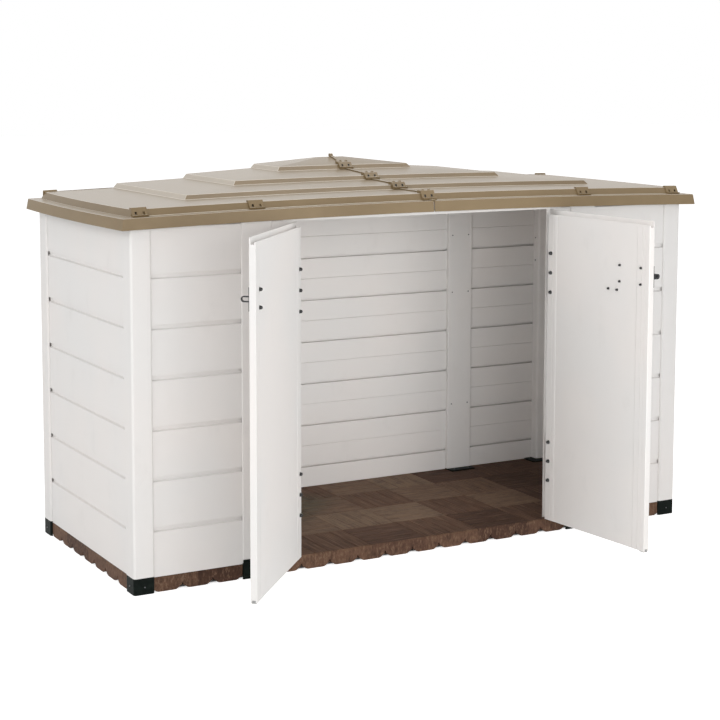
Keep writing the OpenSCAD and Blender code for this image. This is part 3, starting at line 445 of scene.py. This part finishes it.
def soften(node, edge):
    """A merged copy of a node with its sharp edges rounded over, which stands for the node."""
    copy = frame["nodes"][node].copy()
    copy.data = copy.data.copy()
    copy.name = node + "_rounded"
    copy.parent = None
    copy.matrix_world = Matrix.Identity(4)
    bpy.context.scene.collection.objects.link(copy)
    select_only(copy)
    bpy.ops.object.mode_set(mode="EDIT")
    bpy.ops.mesh.select_all(action="SELECT")
    bpy.ops.mesh.remove_doubles(threshold=MERGE_WITHIN)
    bpy.ops.mesh.dissolve_limited(angle_limit=FLAT_WITHIN)
    bpy.ops.object.mode_set(mode="OBJECT")
    if SLOT_OF[node] == "board":
        feet = sorted({round(min(p.z for p in points), 4) for points in solids(node)})
        deepen_grooves(copy, feet)
    rounding = copy.modifiers.new("rounding", "BEVEL")
    rounding.width = edge
    rounding.segments = ROUNDING_STEPS
    rounding.limit_method = "ANGLE"
    rounding.angle_limit = ROUNDED_FROM
    rounding.use_clamp_overlap = node not in FULLY_ROUNDED
    shade = copy.modifiers.new("shade", "WEIGHTED_NORMAL")
    shade.keep_sharp = True
    apply_modifiers(copy)
    bpy.ops.object.shade_smooth_by_angle(angle=SMOOTH_TO, keep_sharp_edges=False)
    even = copy.modifiers.new("even", "WEIGHTED_NORMAL")
    even.keep_sharp = True
    apply_modifiers(copy)
    dress(copy, SLOT_OF[node], BODY_OF[node])
    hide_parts(node)


def solids(node):
    """The corner points of each separate solid of a node."""
    mesh = frame["nodes"][node].data
    places = [tuple(round(part, 6) for part in corner.co) for corner in mesh.vertices]
    leader = {place: place for place in places}

    def lead(place):
        while leader[place] != place:
            place = leader[place]
        return place

    for face in mesh.polygons:
        first = lead(places[face.vertices[0]])
        for corner in face.vertices[1:]:
            leader[lead(places[corner])] = first
    groups = {}
    for place in leader:
        groups.setdefault(lead(place), []).append(Vector(place))
    return list(groups.values())


def turned(name, rings, sides=24):
    """A round piece about +Z, through rings of (radius, height) from its lower to its upper end."""
    bpy.ops.object.select_all(action="DESELECT")
    radius, height = rings[0]
    bpy.ops.mesh.primitive_circle_add(vertices=sides, radius=radius, fill_type="NGON",
                                      location=(0, 0, height))
    piece = bpy.context.object
    piece.name = name
    bpy.ops.object.transform_apply(location=True, rotation=True, scale=True)
    bpy.ops.object.mode_set(mode="EDIT")
    bpy.ops.mesh.select_all(action="SELECT")
    for wider, higher in rings[1:]:
        bpy.ops.mesh.extrude_region_move(TRANSFORM_OT_translate={"value": (0, 0, higher - height)})
        bpy.ops.transform.resize(value=(wider / radius, wider / radius, 1.0), center_override=(0, 0, higher))
        radius, height = wider, higher
    bpy.ops.mesh.select_all(action="SELECT")
    bpy.ops.mesh.normals_make_consistent(inside=False)
    bpy.ops.object.mode_set(mode="OBJECT")
    bpy.ops.object.shade_smooth_by_angle(angle=SMOOTH_TO)
    return piece


def block(name, size, bevel=0.0):
    """A rectangular block about the origin, with its edges rounded where a bevel is given."""
    bpy.ops.object.select_all(action="DESELECT")
    bpy.ops.mesh.primitive_cube_add(size=1.0, scale=size)
    piece = bpy.context.object
    piece.name = name
    bpy.ops.object.transform_apply(location=True, rotation=True, scale=True)
    if bevel:
        bpy.ops.object.mode_set(mode="EDIT")
        bpy.ops.mesh.select_all(action="SELECT")
        bpy.ops.mesh.bevel(offset=bevel, segments=ROUNDING_STEPS, affect="EDGES")
        bpy.ops.object.mode_set(mode="OBJECT")
    return piece


def put_copies(name, models_and_places):
    """One piece made of copies of models, each with its own mesh, at the places given as matrices."""
    made = []
    for model, place in models_and_places:
        twin = model.copy()
        twin.data = model.data.copy()
        bpy.context.scene.collection.objects.link(twin)
        twin.matrix_world = place
        made.append(twin)
    bpy.ops.object.select_all(action="DESELECT")
    for twin in made:
        twin.select_set(True)
    bpy.context.view_layer.objects.active = made[0]
    bpy.ops.object.transform_apply(location=True, rotation=True, scale=True)
    bpy.ops.object.join()
    made[0].name = name
    return made[0]


def standing(at, out):
    """The place of a piece about +Z that stands at a point and looks along a direction."""
    return Matrix.Translation(at) @ Vector(out).to_track_quat("Z", "Y").to_matrix().to_4x4()


def middle(points):
    """The mean of some points."""
    return sum(points, Vector()) / len(points)


# Screws

SCREW_HEAD_R, SCREW_HEAD_H = 5.0 * MM, 2.4 * MM
SCREW_SHANK_R = 2.2 * MM
CROSS_L, CROSS_W, CROSS_D = 6.4 * MM, 1.6 * MM, 1.9 * MM
# A pan head's outline, as shares of its radius and height
PAN_HEAD = ((1.0, 0.0), (1.0, 0.30), (0.94, 0.62), (0.78, 0.86), (0.50, 0.98), (0.30, 1.0))
SCREW_TURN = 1.3                                   # radians from one screw's cross to the next one's


def screw_model(name, length):
    """A pan-headed screw with a cross recess. Its head stands on z = 0."""
    shank = [(SCREW_SHANK_R * 0.8, -length), (SCREW_SHANK_R, -length * 0.9), (SCREW_SHANK_R, 0.0)]
    head = [(wide * SCREW_HEAD_R, high * SCREW_HEAD_H) for wide, high in PAN_HEAD]
    screw = turned(name, shank + head)
    cross = []
    for turn in (0, 90):
        arm = block("cross_arm", (CROSS_L, CROSS_W, 2 * CROSS_D))
        place = Matrix.Translation((0, 0, SCREW_HEAD_H)) @ Matrix.Rotation(math.radians(turn), 4, "Z")
        cross.append((arm, place))
    cutter = put_copies("cross", cross)
    recess = screw.modifiers.new("recess", "BOOLEAN")
    recess.operation = "DIFFERENCE"
    recess.object = cutter
    recess.solver = "EXACT"
    recess.use_self = True
    apply_modifiers(screw)
    for spent in [cutter] + [arm for arm, _ in cross]:
        bpy.data.objects.remove(spent)
    return screw


def screw_places(node):
    """Where each screw of a node has its seat, and which way its head looks."""
    for points in solids(node):
        sizes = [max(p[axis] for p in points) - min(p[axis] for p in points) for axis in range(3)]
        axis = sizes.index(max(sizes))
        centre = middle(points)
        low, high = min(p[axis] for p in points), max(p[axis] for p in points)

        def girth(end):
            return max((p - centre).length for p in points if abs(p[axis] - end) < 0.1 * MM)

        out = Vector((0, 0, 0))
        out[axis] = 1.0 if girth(high) > girth(low) else -1.0
        seat = centre.copy()
        seat[axis] = high - SCREW_HEAD_H if out[axis] > 0 else low + SCREW_HEAD_H
        yield seat, out, sizes[axis] - SCREW_HEAD_H


def drive_screws(node):
    """Screws with a cross recess, each turned a little differently, which stand for a node of screws."""
    model = None
    places = []
    for number, (seat, out, length) in enumerate(screw_places(node)):
        model = model or screw_model("screw_model", length)
        places.append((model, standing(seat, out) @ Matrix.Rotation(number * SCREW_TURN, 4, "Z")))
    screws = put_copies(node + "_cross_recess", places)
    bpy.data.objects.remove(model)
    dress(screws, SLOT_OF[node], BODY_OF[node])
    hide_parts(node)


# Door bolts

OPEN_ANGLE = {joint["child"]: -math.radians(joint["range_deg"][0]) for joint in
              frame["record"]["behaviour"]["joints"] if joint["type"] == "hinge"}
INTO_BOX = {
    "left_door": Vector((math.sin(OPEN_ANGLE["left_door"]), math.cos(OPEN_ANGLE["left_door"]), 0)),
    "right_door": Vector((-math.sin(OPEN_ANGLE["right_door"]), math.cos(OPEN_ANGLE["right_door"]), 0)),
}
BOLT_SHANK_R, BOLT_HEAD_R, BOLT_HEAD_H = 3.0 * MM, 6.0 * MM, 3.0 * MM
# A bolt head's outline, as shares of its radius and height
BOLT_HEAD = ((0.30, 0.0), (0.72, 0.16), (0.93, 0.45), (1.0, 0.85), (1.0, 1.0))
CAP_HEIGHTS = {6.3: 9.0 * MM, 4.2: 7.0 * MM}       # by the cap's radius in millimetres
CAP_COLLAR_H, CAP_NECK_H, CAP_DOME = 1.1 * MM, 1.7 * MM, 0.86
DOME_STEPS, DOME_TILT = 6, 80.0


def bolt_rings(cap_r, cap_h, length, with_head):
    """Rings of a door bolt from its outer end: a low dome, the shank, then a collar and a domed cap."""
    rings = [(wide * BOLT_HEAD_R, high * BOLT_HEAD_H) for wide, high in BOLT_HEAD] if with_head else []
    rings.append((BOLT_SHANK_R, BOLT_HEAD_H if with_head else 0.0))
    face = length - cap_h
    dome_r = CAP_DOME * cap_r
    rings += [(BOLT_SHANK_R, face), (cap_r, face), (cap_r, face + CAP_COLLAR_H), (dome_r, face + CAP_NECK_H)]
    for step in range(DOME_STEPS):
        tilt = math.radians(DOME_TILT * step / (DOME_STEPS - 1))
        rings.append((dome_r * math.cos(tilt), length - dome_r * (1 - math.sin(tilt))))
    return rings


def turn_bolts(node):
    """The bolts of a door, with domed heads outside and domed caps on the inner face."""
    inward = INTO_BOX[BODY_OF[node]]
    models, places = {}, []
    for points in solids(node):
        centre = middle(points)
        low, high = min(p.dot(inward) for p in points), max(p.dot(inward) for p in points)

        def girth(near):
            return max((p - centre).cross(inward).length for p in points if near(p.dot(inward)))

        cap_r = min(CAP_HEIGHTS, key=lambda r: abs(r * MM - girth(lambda at: at > high - 8 * MM)))
        with_head = girth(lambda at: at < low + MM) > 1.5 * BOLT_SHANK_R
        key = (cap_r, with_head, round((high - low) / MM, 1))
        if key not in models:
            rings = bolt_rings(cap_r * MM, CAP_HEIGHTS[cap_r], high - low, with_head)
            models[key] = turned("bolt_model", rings)
        start = centre + inward * (low - centre.dot(inward))
        places.append((models[key], standing(start, inward)))
    bolts = put_copies(node + "_domed", places)
    for model in models.values():
        bpy.data.objects.remove(model)
    dress(bolts, SLOT_OF[node], BODY_OF[node])
    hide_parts(node)


# Bosses of the roof clips, and dark plates of painted shade in their openings

CLIP_DEPTH, CLIP_HALF = 20.0 * MM, 24.0 * MM
RISER_RUN, RISER_H, BACK_RISER_RUN = 12.0 * MM, 21.0 * MM, 3.0 * MM
BOSS = ((5.6 * MM, -1.0 * MM), (5.6 * MM, 1.5 * MM), (5.0 * MM, 2.3 * MM), (3.4 * MM, 2.3 * MM),
        (3.2 * MM, 0.7 * MM), (0.5 * MM, 0.6 * MM))
PLUG = ((3.0 * MM, 0.5 * MM), (3.0 * MM, 1.3 * MM), (1.6 * MM, 1.7 * MM))
PLUG_SIDES = 16
# Plates of painted shade, set in the clips' openings
SHADE_PLATE_SIZE, SHADE_PLATE_ROUNDING = (6.6 * MM, 0.6 * MM, 7.4 * MM), 0.15 * MM
# How far a plate of painted shade has its middle from the clip's middle plane, and how high over its foot
JOINT_SHADE_PLATE_IN, JOINT_SHADE_PLATE_UP = 5.6 * MM, 13.2 * MM
FRONT_SHADE_PLATE_IN, BACK_SHADE_PLATE_IN, SHADE_PLATE_UP = 8.6 * MM, 2.9 * MM, 10.2 * MM


def clip_bosses():
    """Two bosses with a sunk black screw on each connector of the roof's joint."""
    boss = turned("boss_model", BOSS)
    plug = turned("plug_model", PLUG, PLUG_SIDES)
    places = []
    for points in solids("roof_joint_clips"):
        back = max(p.y for p in points)
        far = max(p.z for p in points)
        crest = max(p.z for p in points if p.y < back - 0.5 * CLIP_DEPTH)
        tilt = Matrix.Rotation(math.atan2(far - crest, CLIP_DEPTH), 4, "X")
        for side in (-1, 1):
            at = Vector((side * 0.46 * CLIP_HALF, back - 0.6 * CLIP_DEPTH, (far + crest) / 2))
            places.append(Matrix.Translation(at) @ tilt)
    for name, model, slot_name in (("roof_clip_bosses", boss, "roof"), ("roof_clip_plugs", plug, "cap")):
        dress(put_copies(name, [(model, place) for place in places]), slot_name, "shed")
        bpy.data.objects.remove(model)


def clip_shade_plates():
    """Dark plates in the openings of the clips' upright parts: painted shade for their shadowed insides."""
    shade_plate = block("shade_plate_model", SHADE_PLATE_SIZE, SHADE_PLATE_ROUNDING)
    places = []
    for node in ("roof_clips", "roof_joint_clips"):
        for points in solids(node):
            front = min(p.y for p in points)
            foot = min(p.z for p in points)
            centre = (min(p.x for p in points) + max(p.x for p in points)) / 2
            if node == "roof_joint_clips":
                lean = 0.0
                at = Vector((0, front + 0.5 * CLIP_DEPTH + JOINT_SHADE_PLATE_IN, foot + JOINT_SHADE_PLATE_UP))
            elif middle(points).y < 0:
                lean = math.atan2(RISER_RUN, RISER_H)
                at = Vector((centre, front + 0.5 * CLIP_DEPTH + FRONT_SHADE_PLATE_IN, foot + SHADE_PLATE_UP))
            else:
                lean = -math.atan2(BACK_RISER_RUN, RISER_H)
                back = max(p.y for p in points)
                at = Vector((centre, back - 0.5 * CLIP_DEPTH - BACK_SHADE_PLATE_IN, foot + SHADE_PLATE_UP))
            for side in (-1, 1):
                places.append((shade_plate, Matrix.Translation(at + Vector((side * CLIP_HALF / 2, 0, 0)))
                               @ Matrix.Rotation(-lean, 4, "X")))
    # The plates take the black cap finish as painted shade.
    dress(put_copies("roof_clip_shade_plates", places), "cap", "shed")
    bpy.data.objects.remove(shade_plate)


EDGE_OF = {
    "board": 0.9 * MM, "post": 0.8 * MM, "trim": 0.8 * MM, "door": 0.6 * MM, "roof": 1.8 * MM,
    "tile": 0.7 * MM, "foot": 0.8 * MM, "fitting": 0.5 * MM, "glide": 0.4 * MM,
}
FINER_EDGE = {"roof_clips": 0.9 * MM, "roof_joint_clips": 0.9 * MM, "roof_joint_strip": 1.2 * MM}
SCREWS = ("post_screws", "foot_screws", "hinge_screws")
BOLTS = ("left_door_bolts", "right_door_bolts")
for node, cad in frame["nodes"].items():
    slot_name = SLOT_OF[node]
    for place in cad.material_slots:
        place.material = FINISHES[slot_name]
    if node in SCREWS:
        drive_screws(node)
    elif node in BOLTS:
        turn_bolts(node)
    elif slot_name in EDGE_OF:
        soften(node, FINER_EDGE.get(node, EDGE_OF[slot_name]))
clip_bosses()
clip_shade_plates()


# Floor, light and camera

# The ground under the box ends a little inside the tiles' faces, in both directions from the middle
BOX_X, BOX_Y, SHADE_EDGE = 972 * MM, 376 * MM, 8 * MM
FLOOR_SIZE, FLOOR_BELOW = 60.0, 0.2 * MM
FLOOR_GREY, FLOOR_GLOW = (0.86, 0.86, 0.86, 1.0), 0.72
PURE_WHITE = (1.0, 1.0, 1.0, 1.0)
SKY_STRENGTH = 0.45


def studio_floor():
    """A pale floor that looks white, apart from the ground right under the box."""
    bpy.ops.mesh.primitive_plane_add(size=FLOOR_SIZE, location=(0, 0, -FLOOR_BELOW))
    floor = bpy.context.object
    floor.name = "studio_floor"
    paint = Finish("studio_floor", Roughness=0.9, Specular_IOR_Level=0.1)
    paint.set("Base Color", FLOOR_GREY)
    seen = paint.add("ShaderNodeLightPath", {}, {}, "Is Camera Ray")
    mirrored = paint.add("ShaderNodeLightPath", {}, {}, "Is Glossy Ray")
    through = paint.add("ShaderNodeLightPath", {}, {}, "Is Transmission Ray")
    beside = paint.between(abs(paint.x), BOX_X, BOX_X + SHADE_EDGE)
    before = paint.between(abs(paint.y), BOX_Y, BOX_Y + SHADE_EDGE)
    open_floor = paint.math("MAXIMUM", beside, before)
    glow = paint.add("ShaderNodeEmission", {}, {
        "Color": PURE_WHITE, "Strength": (seen + mirrored + through) * open_floor * FLOOR_GLOW})
    both = paint.add("ShaderNodeAddShader", {}, {0: Value(paint, paint.shader.outputs[0]), 1: glow})
    paint.join(paint.output.inputs["Surface"], both)
    floor.data.materials.append(paint.material)


def soft_box(name, at, look_at, size, watts):
    """A white lamp of a given width and height that lights along one direction and isn't seen itself."""
    lamp = bpy.data.lights.new(name, "AREA")
    lamp.shape = "RECTANGLE"
    lamp.size, lamp.size_y = size
    lamp.energy = watts
    holder = bpy.data.objects.new(name, lamp)
    bpy.context.scene.collection.objects.link(holder)
    holder.location = at
    holder.rotation_mode = "QUATERNION"
    holder.rotation_quaternion = (Vector(look_at) - Vector(at)).to_track_quat("-Z", "Y")
    holder.visible_camera = False


def studio_sky():
    """White to the camera and in reflections, and an even soft light for everything else."""
    world = bpy.data.worlds.new("studio_sky")
    world.use_nodes = True
    bpy.context.scene.world = world
    nodes, links = world.node_tree.nodes, world.node_tree.links
    nodes.clear()
    output = nodes.new("ShaderNodeOutputWorld")
    path = nodes.new("ShaderNodeLightPath")
    mix = nodes.new("ShaderNodeMixShader")
    seen = nodes.new("ShaderNodeBackground")
    light = nodes.new("ShaderNodeBackground")
    seen.inputs["Strength"].default_value = 1.0
    seen.inputs["Color"].default_value = PURE_WHITE
    light.inputs["Strength"].default_value = SKY_STRENGTH
    light.inputs["Color"].default_value = PURE_WHITE
    white_to = path.outputs["Is Camera Ray"]
    for ray in ("Is Glossy Ray", "Is Transmission Ray"):
        either = nodes.new("ShaderNodeMath")
        either.operation = "MAXIMUM"
        links.new(white_to, either.inputs[0])
        links.new(path.outputs[ray], either.inputs[1])
        white_to = either.outputs[0]
    links.new(white_to, mix.inputs[0])
    links.new(light.outputs[0], mix.inputs[1])
    links.new(seen.outputs[0], mix.inputs[2])
    links.new(mix.outputs[0], output.inputs["Surface"])


studio_floor()
studio_sky()
soft_box("key_left", (-6.0, -1.2, 3.2), (-1.0, 0.0, 0.6), (3.0, 3.0), 100.0)
soft_box("low_left", (-5.2, -5.0, 1.3), (0.2, 0.0, 0.5), (3.0, 2.2), 52.0)
soft_box("front_fill", (-0.8, -7.5, 1.7), (0.0, 0.0, 0.5), (5.0, 3.0), 135.0)
soft_box("front_right", (1.1, -7.45, 1.7), (0.0, 0.0, 0.5), (3.0, 2.6), 20.0)
soft_box("top_soft", (1.2, 0.4, 5.2), (0.3, 0.0, 1.0), (4.0, 3.0), 85.0)
soft_box("rim_back", (0.5, 7.0, 2.8), (0.0, 0.0, 1.0), (6.0, 2.5), 10.0)
soft_box("doorway_fill", (0.1, -1.9, 0.9), (0.0, 0.4, 0.6), (1.0, 1.0), 4.8)
soft_box("inner_fill", (0.0, -0.345, 0.62), (0.0, 0.4, 0.60), (0.80, 0.85), 1.6)

CAMERA_AT = Vector((-2.8182, -5.0615, 1.5551))
CAMERA_YAW, CAMERA_PITCH, CAMERA_ROLL = math.radians(28.899), math.radians(6.204), math.radians(0.118)
SENSOR = 36.0
FOCAL_PIXELS, PHOTO_PIXELS = 1739.73, 720
SHIFT_DOWN = 0.15


def photo_camera():
    """The camera at the photograph's viewing angle."""
    camera = bpy.data.cameras.new("photo_camera")
    camera.sensor_width = SENSOR
    camera.lens = FOCAL_PIXELS / PHOTO_PIXELS * SENSOR
    camera.shift_y = -SHIFT_DOWN
    holder = bpy.data.objects.new("photo_camera", camera)
    bpy.context.scene.collection.objects.link(holder)
    holder.location = CAMERA_AT
    ahead = Vector((math.sin(CAMERA_YAW) * math.cos(CAMERA_PITCH),
                    math.cos(CAMERA_YAW) * math.cos(CAMERA_PITCH), -math.sin(CAMERA_PITCH)))
    right = Vector((math.cos(CAMERA_YAW), -math.sin(CAMERA_YAW), 0.0))
    up = right.cross(ahead)
    turn = Matrix((right, up, -ahead)).transposed() @ Matrix.Rotation(CAMERA_ROLL, 3, "Z")
    holder.rotation_mode = "QUATERNION"
    holder.rotation_quaternion = turn.to_quaternion()
    bpy.context.scene.camera = holder


photo_camera()
bpy.context.scene.view_settings.view_transform = "Standard"
